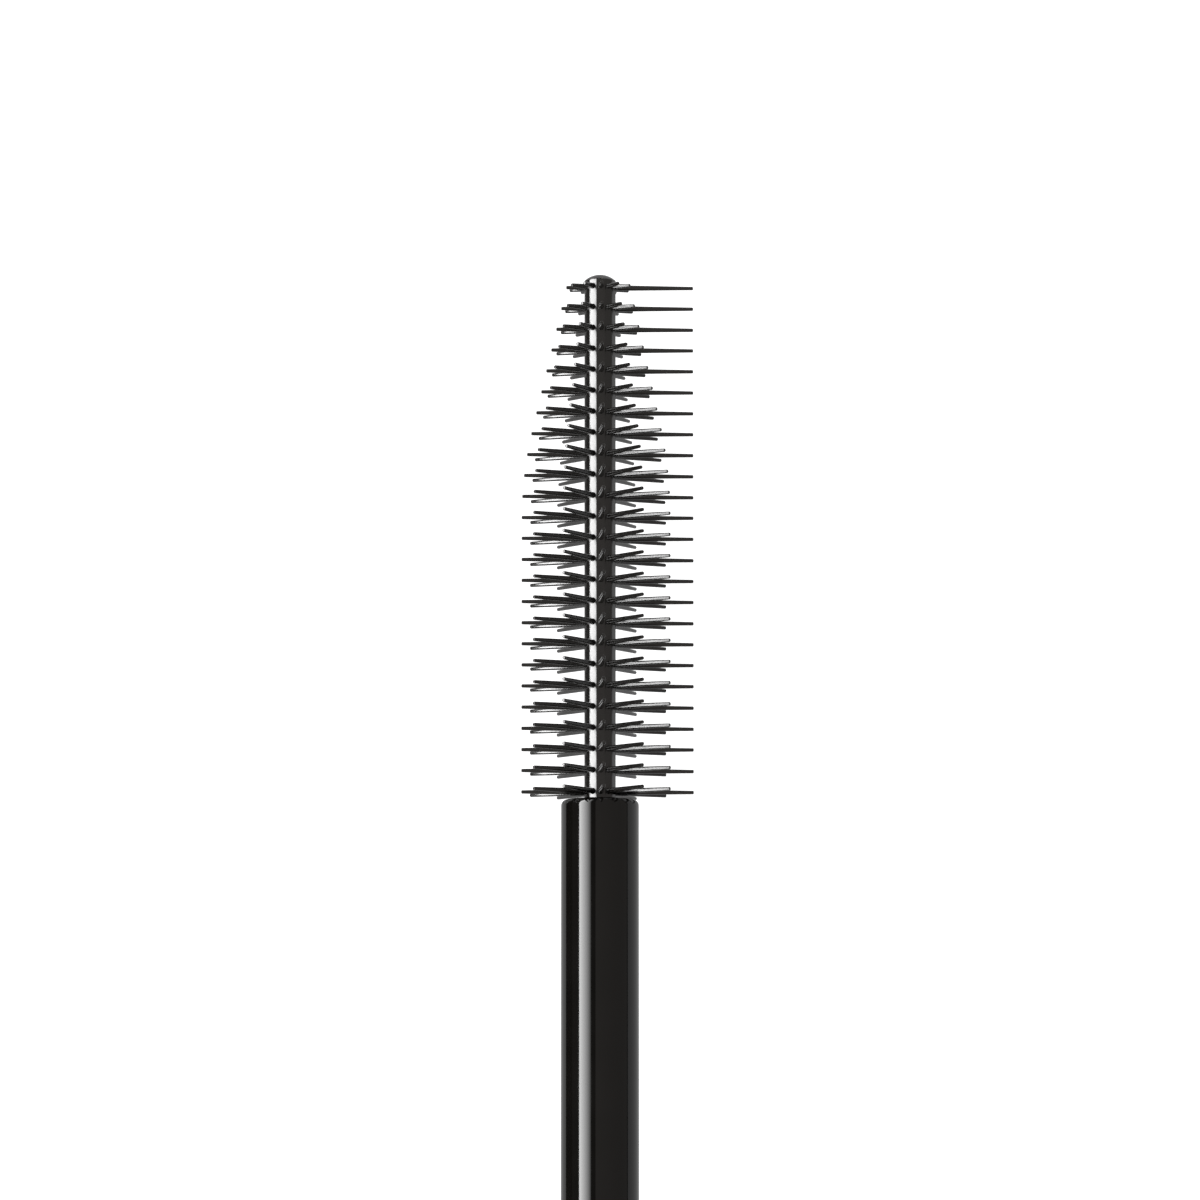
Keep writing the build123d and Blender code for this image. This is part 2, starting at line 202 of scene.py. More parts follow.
shell_bore = BODY_R - SHELL_WALL
ceiling = CAP_END + SHELL_END
cap_shell = turned("cap_shell_lacquered", [
    (CAP_END, INLAY_R + PRESS_GAP, SHEET_EDGE),
    (CAP_END, BODY_R, EDGE_ROUND),
    (CAP_RIM, BODY_R, RIM_ROUND),
    (CAP_RIM, shell_bore, RIM_ROUND),
    (ceiling, shell_bore, CORNER_INSIDE),
    (ceiling, BOSS_R, BOSS_FOOT),
    (BOSS_END, BOSS_R, MOULDED_EDGE),
    (BOSS_END, BOSS_R - BOSS_WALL, MOULDED_EDGE),
    (ceiling, BOSS_R - BOSS_WALL, BOSS_FOOT),
    (ceiling, 0, 0),
    (INLAY_SEAT, 0, 0),
    (INLAY_SEAT, INLAY_R + PRESS_GAP, SHEET_EDGE),
], "wand", "cap_shell")

# %% [markdown]
# The end of the cap is dressed with a thin metal disc.  It is stamped from anodised sheet, so it
# has a crisp chamfer that flashes when the cap turns, and it sits a tenth of a millimetre deep.

# %% Cap inlay
INLAY_CHAMFER = 0.12
STAMPED_EDGE = 0.03
inlay_out, inlay_in = ends("cap_inlay")
cap_inlay = turned("cap_inlay_disc", [
    (inlay_out, 0, 0),
    (inlay_out, INLAY_R - INLAY_CHAMFER, STAMPED_EDGE),
    (inlay_out + INLAY_CHAMFER, INLAY_R, STAMPED_EDGE),
    (inlay_in, INLAY_R, SHEET_EDGE),
    (inlay_in, 0, 0),
], "wand", "cap_inlay", closed=False)

# %% [markdown]
# ## Screw threads as a relief
# A bottle thread is a rounded ridge that climbs the wall and fades out at both ends, where the
# mould lets it go.  It could be swept along a helix and joined with a boolean, which leaves a
# rough seam.  Here the wall is a fine grid and each point is pushed out by how near it lies to the
# helix, so ridge, flanks and run-outs are one skin.

# %% The ridge of a thread
THREAD_LEAD = 3.0
THREAD_HEIGHT = 0.65
RIDGE_ROOT_W = 1.3
RIDGE_CREST_W = 0.6
RUN_OUT_DEG = 35.0      # length over which a ridge fades in or out
WALL_STEP = 0.05        # spacing of the rings on a threaded wall, mm


def eased(share):
    """0 to 1 with soft ends."""
    share = min(1.0, max(0.0, share))
    return share * share * (3 - 2 * share)


def ridge_height(x, angle_deg, start, first_deg, last_deg, turned_deg=0.0):
    """Height of a right-hand ridge at a point of the wall; start is its place at zero degrees."""
    height = 0.0
    turn = (angle_deg - turned_deg - first_deg) % 360 + first_deg
    while turn <= last_deg:
        off = abs(x - start - THREAD_LEAD * turn / 360)
        flank = (RIDGE_ROOT_W / 2 - off) / (RIDGE_ROOT_W / 2 - RIDGE_CREST_W / 2)
        fade = eased(min(turn - first_deg, last_deg - turn) / RUN_OUT_DEG)
        height = max(height, THREAD_HEIGHT * eased(flank) * fade)
        turn += 360
    return height


def wall(from_x, to_x, r):
    """Corners of a straight wall, close enough together to carry a thread."""
    count = max(1, round(abs(to_x - from_x) / WALL_STEP))
    return [(from_x + (to_x - from_x) * i / count, r, 0) for i in range(count + 1)]


for share in (0, 0.25, 0.5):
    at = share * RIDGE_ROOT_W
    high = ridge_height(at, 180, -THREAD_LEAD / 2, 0, 360)
    print(round(at, 2), "mm off its helix a ridge is", round(high, 2), "mm high")


# %% [markdown]
# ## The inner cap
# Under the lacquered shell sits a plain moulded inner cap.  It carries the thread that meets the
# neck, the seat of the stem, and a ribbed chamber for the weight.  From outside only its rim and
# the first turn of its thread show, deep inside the shell.

# %% Inner cap
CHAMBER_END, SKIRT_END = ends("inner_cap")
INNER_R = outer_radius("inner_cap")
NECK_ROOT_R = 6.3
THREAD_GAP = 0.2
BORE_R = NECK_ROOT_R + THREAD_HEIGHT + THREAD_GAP
SKIRT_DEPTH = 13.63     # rim of the inner cap to its ceiling
NECK_INSIDE = 12.8      # rim of the inner cap to the sealing face, once the cap is on
CEILING_T = 2.0
CHAMBER_R, CHAMBER_BORE = 6.55, 5.65
RIBS, RIB_W = 8, 1.0
STEM_R = 2.0
SCREW_DEG = 450.0       # turn from loose to tight
CAP_RIDGE_DEG = (40.0, 440.0)       # from where to where its ridge turns
RIDGE_BEHIND = 1.0      # cap ridge behind the neck ridge, along the axis
NECK_RIDGE_AT = 2.8     # sealing face to the start of the neck's ridge
LEAD_CHAMFER = 0.1      # at the skirt's opening
CHAMBER_CORNER = 0.2
HAIR = 0.02             # a wall with a relief stops this short of its corner

cap_ceiling = SKIRT_END - SKIRT_DEPTH
chamber_floor = cap_ceiling - CEILING_T
closed_face = SKIRT_END - NECK_INSIDE


def inner_cap_relief(x, r, angle):
    """Ribs outside the chamber and the thread inside the skirt."""
    if abs(r - BORE_R) < SAME:
        at = closed_face + NECK_RIDGE_AT + RIDGE_BEHIND
        return r - ridge_height(x, angle / tau * 360, at, *CAP_RIDGE_DEG, -SCREW_DEG)
    if abs(r - CHAMBER_R) < SAME and x < chamber_floor:
        off = (angle * RIBS / tau + 0.5) % 1 - 0.5
        if abs(off) * tau / RIBS * INNER_R < RIB_W / 2:
            return INNER_R
    return r


inner_cap = turned("inner_cap_threaded", [
    (CHAMBER_END, CHAMBER_BORE, MOULDED_EDGE),
    (CHAMBER_END, CHAMBER_R, 0),
    (chamber_floor - HAIR, CHAMBER_R, 0),
    (chamber_floor, CHAMBER_R, 0),
    (chamber_floor, INNER_R, MOULDED_EDGE),
    (SKIRT_END, INNER_R, MOULDED_EDGE),
    (SKIRT_END, BORE_R + LEAD_CHAMFER, 0),
    *wall(SKIRT_END - LEAD_CHAMFER, cap_ceiling, BORE_R),
    (cap_ceiling, STEM_R + PRESS_GAP, 0),
    (chamber_floor, STEM_R + PRESS_GAP, 0),
    (chamber_floor, CHAMBER_BORE, CHAMBER_CORNER),
], "wand", "inner_cap", relief=inner_cap_relief)

# %% [markdown]
# Two more pieces live inside the cap.  The steel weight gives it the heavy feel that buyers expect,
# and the foamed washer seals the neck.  The weight is never seen, but it is a turned part with
# chamfered ends, and a sectioned view or a print would show it.

# %% Weight and washer
WEIGHT_CHAMFER = 0.5
top, foot = ends("cap_weight")
weight_r = outer_radius("cap_weight")
cap_weight = turned("cap_weight_turned", [
    (top, 0, 0),
    (top, weight_r - WEIGHT_CHAMFER, TURNED_EDGE),
    (top + WEIGHT_CHAMFER, weight_r, TURNED_EDGE),
    (foot - WEIGHT_CHAMFER, weight_r, TURNED_EDGE),
    (foot, weight_r - WEIGHT_CHAMFER, TURNED_EDGE),
    (foot, 0, 0),
], "weight", "cap_weight", closed=False)

PUNCHED_IN, PUNCHED_OUT = 0.06, 0.12    # foam rolls over where the punch cuts it
washer_back, washer_front = ends("liner_washer")
washer_r, washer_bore = outer_radius("liner_washer"), STEM_R + LOOSE_GAP
liner_washer = turned("liner_washer_foam", [
    (washer_back, washer_bore, PUNCHED_IN),
    (washer_back, washer_r, PUNCHED_OUT),
    (washer_front, washer_r, PUNCHED_OUT),
    (washer_front, washer_bore, PUNCHED_IN),
], "washer", "liner_washer")

# %% [markdown]
# ## The stem
# The stem is one long moulded rod with a polished surface.  Its head is trapped in the inner cap,
# and its tip is bored to take the tail of the brush, with a groove for the tail's snap ring.  The
# tip's edge has a generous soft rounding, so that it can't cut the wiper when it is pushed home.

# %% Stem
HEAD_R, HEAD_T = 3.3, 1.6
HEAD_ROUND, TIP_ROUND = 0.15, 0.3
TAIL_R, TAIL_LENGTH = 0.9, 8.5          # tail of the brush, which the socket holds
TAIL_LEAD_IN = 0.3
SNAP_HEIGHT, SNAP_WIDTH = 0.16, 0.7     # its snap ring
SNAP_FROM_END = 2.4
SOCKET_R, SOCKET_DEPTH = TAIL_R + PRESS_GAP, 9.0
stem_top, stem_tip = ends("stem")


def snap_ring(r):
    """Corners of the tail's snap ring, or of its groove, on a wall of that radius."""
    middle = stem_tip - TAIL_LENGTH + SNAP_FROM_END
    low, high = middle - SNAP_WIDTH / 2, middle + SNAP_WIDTH / 2
    top = r + SNAP_HEIGHT
    return [(high + SNAP_HEIGHT, r, 0), (high, top, 0), (low, top, 0), (low - SNAP_HEIGHT, r, 0)]


stem = turned("stem_rod", [
    (stem_top, 0, 0),
    (stem_top, HEAD_R, HEAD_ROUND),
    (stem_top + HEAD_T, HEAD_R, MOULDED_EDGE),
    (stem_top + HEAD_T, STEM_R, 0),
    (stem_tip, STEM_R, TIP_ROUND),
    (stem_tip, SOCKET_R, TURNED_EDGE),
    *snap_ring(SOCKET_R),
    (stem_tip - SOCKET_DEPTH, SOCKET_R, 0),
    (stem_tip - SOCKET_DEPTH, 0, 0),
], "wand", "stem", closed=False)

# %% [markdown]
# ## The brush
# The brush is one shot of elastomer: a twelve-sided core with a bristle growing from every flat,
# 25 rings of them, and a low domed tip.  One column of bristles keeps its full length all the way
# up and makes the comb side, and the other eleven shorten towards the tip.  Spinning or joining
# 300 cones would leave a seam under each one.  Instead each flat is cut into 25 cells, and in every
# cell a bristle rises from its own foot circle, so that the brush is a single closed skin.

# %% Brush sizes
COLUMNS, TIERS = 12, 25
CORE_R = 0.83           # axis to an edge of the core
TIER_PITCH = 1.093
FIRST_TIER = 0.40       # stem tip to the first ring
DOME_H = 0.34
REACH, COMB_REACH = 4.05, 4.83      # axis to bristle tip
TAPER_STEP = 0.258      # reach lost from ring to ring on the tapered end
TAPER_TIERS = 11        # rings over which the reach falls
TAPER_BLEND = 4.2       # rings over which the taper blends into the straight part
ROOT_R, TIP_R = 0.155, 0.09
ROOT_DEEP = 0.2         # the cone of a bristle starts this far inside the core
COMB_SIDE_DEG = 182.8   # direction of the comb column, from +Y towards +Z

brush_end = ends("brush")[1]
flat_r = CORE_R * cos(pi / COLUMNS)
flat_half = CORE_R * sin(pi / COLUMNS)
print("each flat is", round(2 * flat_half, 3), "mm wide for a root of", 2 * ROOT_R, "mm")


def reach_at(tier):
    """Axis to bristle tip: straight from the stem, then an easy taper to the domed end."""
    into = tier - (TIERS - 1 - TAPER_TIERS)
    if into <= 0:
        return REACH
    if into < TAPER_BLEND:
        return REACH - TAPER_STEP * into ** 2 / (2 * TAPER_BLEND)
    return REACH - TAPER_STEP * (into - TAPER_BLEND / 2)


# %% [markdown]
# The core's rings and the bristles' cells have to share their edge points exactly.  Every flat is
# therefore divided in four across its width, and each cell takes its border from the same
# divisions, so that a weld by distance closes the skin.

# %% The core's rings and a bristle's cell
FLAT_PART = 0.84        # share of a facet that is truly flat, the rest rounds into its neighbours
SHARES = (-1, -FLAT_PART, 0, FLAT_PART)     # divisions of a facet across its width
ACROSS = len(SHARES)
CORNER_DROP = 0.005     # how far the rounding takes a corner of the core down, mm
CELL_END = 0.05         # cell's end to the frame round the bristle's foot, mm
FOOT_FILLET = 0.02      # fillet where a bristle leaves the core
TIP_ROUNDING = 0.05     # rounding of a bristle's blunt end
SHAFT_RINGS = 4
ROUND_RINGS = 3
RING = 4 * ACROSS       # points round a bristle
print(COLUMNS * ACROSS, "points round the core,", RING, "points round a bristle")


def spoke(column):
    """Outward direction of a column in the plane across the axis."""
    angle = radians(COMB_SIDE_DEG + column * 360 / COLUMNS)
    return Vector((0, cos(angle), sin(angle)))


def core_ring(form, x, limit):
    """One ring of the core: flat-sided, but no farther from the axis than the limit."""
    ring = []
    for column in range(COLUMNS):
        out = spoke(column)
        side = Vector((1, 0, 0)).cross(out)
        for share in SHARES:
            point = out * flat_r + side * flat_half * share
            if share == -1:
                point -= point.normalized() * CORNER_DROP
            point *= min(1.0, limit / point.length)
            ring.append(form.verts.new(on_axis(x, point.y, point.z)))
    return ring


def round_ring(form, x, r):
    """One round ring of the tail, with the core's spacing."""
    ring = []
    for i in range(COLUMNS * ACROSS):
        angle = radians(COMB_SIDE_DEG) + tau * (i / (COLUMNS * ACROSS) - 0.5 / COLUMNS)
        ring.append(form.verts.new(on_axis(x, r * cos(angle), r * sin(angle))))
    return ring


def bridge(form, ring, following):
    """Quads between two rings of equal length, or a fan to a single point."""
    for i in range(len(ring)):
        j = (i + 1) % len(ring)
        if len(following) == 1:
            form.faces.new((ring[i], ring[j], following[0]))
        else:
            form.faces.new((ring[i], ring[j], following[j], following[i]))


def cell_frame(i, low, high, half):
    """Point i of a rectangle round a bristle's foot, as (along, across)."""
    side, step = divmod((i + ACROSS // 2) % RING, ACROSS)
    share = SHARES[step]
    along = (high, -share, low, share)[side]
    if side in (1, 3):
        along = along * (high if along > 0 else -low)
    across = (share, 1, -share, -1)[side] * half
    return along, across


# %% [markdown]
# A bristle is a slim cone with a fillet at its foot and a blunt, softly rounded end.  Mould release
# pulls each one very slightly out of true, which is what keeps 300 copies from looking printed, so
# a seeded lean of a fraction of a degree goes into each.

# %% Grow one bristle out of its cell
LEAN = 0.0035           # sideways drift of a tip per millimetre of length
SEED = 12
dice = random.Random(SEED)


def bristle(form, x, column, reach, low, high):
    """Fills one cell of a flat, with a bristle rising from it."""
    out = spoke(column)
    side = Vector((1, 0, 0)).cross(out)
    lean_x, lean_s = dice.uniform(-LEAN, LEAN), dice.uniform(-LEAN, LEAN)

    def point(along, across, height):
        rise = height - flat_r
        place = out * height + side * (across + lean_s * rise)
        return form.verts.new(on_axis(x + along + lean_x * rise, place.y, place.z))

    def radius_at(height):
        root = flat_r - ROOT_DEEP
        return ROOT_R + (TIP_R - ROOT_R) * (height - root) / (reach - root)

    section = []
    for i in range(ROUND_RINGS + 1):
        angle = pi / 2 * i / ROUND_RINGS
        height = flat_r + FOOT_FILLET * (1 - cos(angle))
        section.append((radius_at(height) + FOOT_FILLET * (1 - sin(angle)), height))
    foot, shoulder = section[-1][1], reach - TIP_ROUNDING
    for i in range(1, SHAFT_RINGS + 1):
        height = foot + (shoulder - foot) * i / SHAFT_RINGS
        section.append((radius_at(height), height))
    for i in range(1, ROUND_RINGS + 1):
        angle = pi / 2 * i / ROUND_RINGS
        r = radius_at(shoulder) - TIP_ROUNDING * (1 - cos(angle))
        section.append((r, shoulder + TIP_ROUNDING * sin(angle)))

    border = []
    for along, across in (cell_frame(i, low, high, flat_half) for i in range(RING)):
        corner = out * flat_r + side * across
        if abs(across) > flat_half * (1 + FLAT_PART) / 2:
            corner -= corner.normalized() * CORNER_DROP
        border.append(form.verts.new(on_axis(x + along, corner.y, corner.z)))
    inner = flat_half * FLAT_PART
    frame_points = (cell_frame(i, low + CELL_END, high - CELL_END, inner) for i in range(RING))
    rings = [border, [point(along, across, flat_r) for along, across in frame_points]]
    for r, height in section:
        turns = [tau * i / RING for i in range(RING)]
        rings.append([point(r * cos(a), r * sin(a), height) for a in turns])
    rings.append([point(0, 0, reach)])
    for ring, following in zip(rings, rings[1:]):
        bridge(form, ring, following)


# %% [markdown]
# Ring by ring the cells are laid side by side along the core.  The dome at the tip and the tail that
# snaps into the stem close the two ends, and a weld joins everything that shares an edge.  The count
# of open edges is printed, and it has to be nought.

# %% Put the brush together
WELD = 1e-7             # metres
LAST_CELL = 0.26        # last ring of bristles to the foot of the dome, mm
DOME_RINGS = 8
CELL_INTO_STEM = 0.02   # how far the first ring's cells reach into the stem's socket, mm
CORE_INTO_STEM = 0.03   # and the core itself
form = bmesh.new()
tier_x = [stem_tip + FIRST_TIER + tier * TIER_PITCH for tier in range(TIERS)]
between = [x - TIER_PITCH / 2 for x in tier_x[1:]]
borders = [stem_tip - CELL_INTO_STEM, *between, tier_x[-1] + LAST_CELL]
for tier, x in enumerate(tier_x):
    for column in range(COLUMNS):
        reach = COMB_REACH if column == 0 else reach_at(tier)
        bristle(form, x, column, reach, borders[tier] - x, borders[tier + 1] - x)

dome_r = (CORE_R ** 2 + DOME_H ** 2) / (2 * DOME_H)
dome = [core_ring(form, borders[-1], CORE_R)]
for i in range(DOME_RINGS):
    r = CORE_R * cos(pi / 2 * i / DOME_RINGS)
    dome.append(core_ring(form, brush_end - dome_r + sqrt(dome_r ** 2 - r ** 2), r))
dome.append([form.verts.new(on_axis(brush_end, 0, 0))])
tail_end = stem_tip - TAIL_LENGTH
tail = [
    core_ring(form, borders[0], CORE_R),
    core_ring(form, stem_tip - CORE_INTO_STEM, CORE_R),
    round_ring(form, stem_tip - CORE_INTO_STEM, TAIL_R),
    *[round_ring(form, x, r) for x, r, _ in snap_ring(TAIL_R)],
    round_ring(form, tail_end + TAIL_LEAD_IN, TAIL_R),
    round_ring(form, tail_end, TAIL_R - TAIL_LEAD_IN),
    [form.verts.new(on_axis(tail_end, 0, 0))],
]
for rings in (dome, tail):
    for ring, following in zip(rings, rings[1:]):
        bridge(form, ring, following)
bmesh.ops.remove_doubles(form, verts=form.verts, dist=WELD)
bmesh.ops.recalc_face_normals(form, faces=form.faces)
open_edges = sum(1 for edge in form.edges if len(edge.link_faces) != 2)
print("edges of the brush that aren't closed:", open_edges)
brush_mesh = bpy.data.meshes.new("brush_moulded")
form.to_mesh(brush_mesh)
form.free()
brush = show("brush_moulded", brush_mesh, "wand", "brush", sharp_over=25)

# %% [markdown]
# ## The tube
# The formula is held by a plain moulded vial, whose neck carries the outer thread.  A lacquered
# sleeve slips over it and is closed by a plug at the foot, and a polished metal collar hides the
# joint at the shoulder.  Each one is its own turned piece, with real gaps between them, because
# those thin dark lines are what make an object look assembled.

# %% Vial with its threaded neck
mouth, vial_end = ends("vial")
vial_r = outer_radius("vial")
NECK_BORE_R = 5.25
VIAL_WALL = 0.9
NECK_CONE = 2.0
FLOOR_T = 1.2
SEAL_FACE = ends("wiper")[0]
BEAD_AT, BEAD_W = 4.0, 0.8      # sealing face to the middle of the bead that keeps the wiper in
BEAD_HEIGHT = 0.12
MOUTH_CHAMFER = 0.12
SHOULDER_ROUND, FOOT_ROUND = 0.2, 0.8   # outside the vial
FLOOR_ROUND, CONE_ROUND = 1.6, 0.3      # inside it
NECK_RIDGE_DEG = (0.0, 540.0)       # from where to where the neck's ridge turns
UNDER_COLLAR = 0.83     # face of the collar to the shoulder that it hides
shoulder = ends("shoulder_collar")[0] + UNDER_COLLAR
cavity = shoulder + VIAL_WALL


def neck_relief(x, r, angle):
    """The thread on the outside of the neck."""
    if abs(r - NECK_ROOT_R) > SAME:
        return r
    return r + ridge_height(x, angle / tau * 360, SEAL_FACE + NECK_RIDGE_AT, *NECK_RIDGE_DEG)


def bead(r, height):
    """Corners of the retaining bead, or of its groove, from the mouth inwards."""
    low, high = SEAL_FACE + BEAD_AT - BEAD_W / 2, SEAL_FACE + BEAD_AT + BEAD_W / 2
    return [(low, r, 0), (low + height, r + height, 0), (high - height, r + height, 0), (high, r, 0)]


vial = turned("vial_with_neck", [
    (mouth, NECK_BORE_R, MOULDED_EDGE),
    (mouth, NECK_ROOT_R - MOUTH_CHAMFER, 0),
    *wall(mouth + MOUTH_CHAMFER, shoulder - HAIR, NECK_ROOT_R),
    (shoulder, NECK_ROOT_R, 0),
    (shoulder, vial_r, SHOULDER_ROUND),
    (vial_end, vial_r, FOOT_ROUND),
    (vial_end, 0, 0),
    (vial_end - FLOOR_T, 0, 0),
    (vial_end - FLOOR_T, vial_r - VIAL_WALL, FLOOR_ROUND),
    (cavity + NECK_CONE, vial_r - VIAL_WALL, CONE_ROUND),
    (cavity, NECK_BORE_R, CONE_ROUND),
    *reversed(bead(NECK_BORE_R, BEAD_HEIGHT + PRESS_GAP)),
], "tube", "vial", relief=neck_relief)

# %% [markdown]
# The wiper is the soft cup that sits in the neck.  Its flange rests on the mouth, its wall follows
# the bore with a bead that clicks into the neck's groove, and a cone narrows to the lip that strips
# the stem.  It is moulded in natural polyethylene, which lets light in, so its finish needs depth.

# %% Wiper
WIPER_WALL = 0.65
WIPER_STRAIGHT = 7.0
WIPER_LEAD_IN = 0.35
LIP_R, LIP_T, LIP_LAND = STEM_R + 0.05, 0.5, 0.6
FLANGE_T, FLANGE_R = 0.6, outer_radius("wiper")
FLANGE_ROUND = 0.12
CONE_OUTSIDE, CONE_INSIDE, LIP_INSIDE = 0.6, 0.8, 0.3   # roundings where the cup narrows
LIP_ROUND = 0.08
wiper_face, wiper_end = ends("wiper")
wiper_out = NECK_BORE_R - PRESS_GAP
wiper_in = wiper_out - WIPER_WALL
wiper = turned("wiper_cup", [
    (wiper_face, wiper_in + WIPER_LEAD_IN, MOULDED_EDGE),
    (wiper_face, FLANGE_R, FLANGE_ROUND),
    (wiper_face + FLANGE_T, FLANGE_R, FLANGE_ROUND),
    (wiper_face + FLANGE_T, wiper_out, 0),
    *bead(wiper_out, BEAD_HEIGHT),
    (wiper_face + WIPER_STRAIGHT + WIPER_WALL, wiper_out, CONE_OUTSIDE),
    (wiper_end, LIP_R + LIP_T, MOULDED_EDGE),
    (wiper_end, LIP_R, LIP_ROUND),
    (wiper_end - LIP_LAND, LIP_R, LIP_INSIDE),
    (wiper_face + WIPER_STRAIGHT, wiper_in, CONE_INSIDE),
    (wiper_face + WIPER_LEAD_IN, wiper_in, MOULDED_EDGE),
], "tube", "wiper")

# %% [markdown]
# The collar is a rolled metal band with a flange that laps over the shoulder, and the sleeve is a
# plain lacquered tube.  The plug that closes the foot has a fine groove round its face.  Nothing
# else is needed there, because a small step is what the eye looks for on the base of a tube.

# %% Collar, sleeve and foot plug
COLLAR_BORE = 6.4
COLLAR_FLANGE = 0.8
ROLLED_EDGE, ROLLED_RIM = 0.08, 0.15
SLEEVE_WALL = 1.0
sleeve_bore = BODY_R - SLEEVE_WALL
collar_in, collar_out = ends("shoulder_collar")
shoulder_collar = turned("shoulder_collar_polished", [
    (collar_in, COLLAR_BORE, ROLLED_EDGE),
    (collar_in, BODY_R, ROLLED_RIM),
    (collar_out, BODY_R, ROLLED_EDGE),
    (collar_out, sleeve_bore, SHEET_EDGE),
    (collar_in + COLLAR_FLANGE, sleeve_bore, SHEET_EDGE),
    (collar_in + COLLAR_FLANGE, COLLAR_BORE, ROLLED_EDGE),
], "tube", "shoulder_collar")

sleeve_in, sleeve_out = ends("outer_sleeve")
outer_sleeve = turned("outer_sleeve_lacquered", [
    (sleeve_in, sleeve_bore, SHEET_EDGE),
    (sleeve_in, BODY_R, ROLLED_EDGE),
    (sleeve_out, BODY_R, EDGE_ROUND),
    (sleeve_out, sleeve_bore, SHEET_EDGE),
], "tube", "outer_sleeve")

GROOVE_R, GROOVE_W, GROOVE_D = 5.6, 0.4, 0.15
PLUG_ROUND = 0.2
plug_top, plug_face = ends("foot_plug")
plug_r = outer_radius("foot_plug")
foot_plug = turned("foot_plug_disc", [
    (plug_top, 0, 0),
    (plug_top, plug_r, MOULDED_EDGE),
    (plug_face, plug_r, PLUG_ROUND),
    (plug_face, GROOVE_R + GROOVE_W / 2, TURNED_EDGE),
    (plug_face - GROOVE_D, GROOVE_R + GROOVE_W / 2, TURNED_EDGE),
    (plug_face - GROOVE_D, GROOVE_R - GROOVE_W / 2, TURNED_EDGE),
    (plug_face, GROOVE_R - GROOVE_W / 2, TURNED_EDGE),
    (plug_face, 0, 0),
], "tube", "foot_plug", closed=False)

# %% [markdown]
# ## Finishes
# Black plastic is mostly what it reflects, so each finish is told apart by its gloss: how tight the
# highlight is, how it breaks up, and what lies in the surface.  All patterns are worked out in
# object space, in millimetres, so they stay put when the pieces move.

# %% Node helpers
def new_finish(name):
    """A material with its Principled shader and a place for each pattern."""
    material = bpy.data.materials.new(name)
    material.use_nodes = True
    tree = material.node_tree
    shader = tree.nodes["Principled BSDF"]
    place = tree.nodes.new("ShaderNodeTexCoord").outputs["Object"]
    return material, tree, shader, place


def noise(tree, place, per_mm, detail=3.0, stretch=(1, 1, 1), rough=0.5):
    """Soft noise with so many spots to the millimetre, drawn out along an axis if asked."""
    mapping = tree.nodes.new("ShaderNodeMapping")
    mapping.inputs["Scale"].default_value = [s / MM for s in stretch]
    tree.links.new(place, mapping.inputs["Vector"])
    texture = tree.nodes.new("ShaderNodeTexNoise")
    texture.inputs["Scale"].default_value = per_mm
    texture.inputs["Detail"].default_value = detail
    texture.inputs["Roughness"].default_value = rough
    tree.links.new(mapping.outputs["Vector"], texture.inputs["Vector"])
    return texture.outputs["Fac"]


def spread(tree, value, low, high, from_low=0.3, from_high=0.7):
    """Maps a pattern onto a range of values."""
    node = tree.nodes.new("ShaderNodeMapRange")
    node.inputs["From Min"].default_value = from_low
    node.inputs["From Max"].default_value = from_high
    node.inputs["To Min"].default_value = low
    node.inputs["To Max"].default_value = high
    tree.links.new(value, node.inputs["Value"])
    return node.outputs["Result"]


def bumps(tree, shader, value, height_mm, socket="Normal"):
    """A relief of that height on the shader's normal."""
    bump = tree.nodes.new("ShaderNodeBump")
    bump.inputs["Strength"].default_value = 1.0
    bump.inputs["Distance"].default_value = height_mm * MM
    tree.links.new(value, bump.inputs["Height"])
    tree.links.new(bump.outputs["Normal"], shader.inputs[socket])


def colour(tree, shader, value, dark, light, low=0.35, high=0.65):
    """Base colour that wanders between two tones by a pattern."""
    ramp = tree.nodes.new("ShaderNodeValToRGB")
    ramp.color_ramp.elements[0].position = low
    ramp.color_ramp.elements[0].color = (*dark, 1)
    ramp.color_ramp.elements[1].position = high
    ramp.color_ramp.elements[1].color = (*light, 1)
    tree.links.new(value, ramp.inputs["Fac"])
    tree.links.new(ramp.outputs["Color"], shader.inputs["Base Color"])


def gloss(tree, shader, value, low, high, **reach):
    """Roughness that wanders between two values by a pattern."""
    tree.links.new(spread(tree, value, low, high, **reach), shader.inputs["Roughness"])


def dress(piece, material):
    """Gives a piece its finish, in its one material slot."""
    piece.data.materials.clear()
    piece.data.materials.append(material)
    print(piece.name, "is finished in", material.name)


# %% [markdown]
# The stem is the glossiest plastic here.  It comes out of a polished mould, so its reflections are
# crisp, with only the faint lengthwise flow lines of the melt and a touch of handling haze.

# %% Stem plastic
def rod_plastic():
    """Polished black moulding with lengthwise flow lines."""
    material, tree, shader, place = new_finish("black rod plastic")
    flow = noise(tree, place, per_mm=1.6, detail=2.0, stretch=(0.06, 1, 1))
    haze = noise(tree, place, per_mm=0.35, detail=4.0)
    colour(tree, shader, haze, dark=(0.0022, 0.0020, 0.0017), light=(0.0029, 0.0026, 0.0023))
    gloss(tree, shader, haze, low=0.05, high=0.09)
    bumps(tree, shader, flow, height_mm=0.0003)
    shader.inputs["IOR"].default_value = 1.5
    return material


dress(stem, rod_plastic())

# %% [markdown]
# The brush is a softer, elastomer-modified plastic.  Its mould is eroded rather than polished,
# which gives a satin skin, a little greyer than the rod, with a strong sheen on the flats.

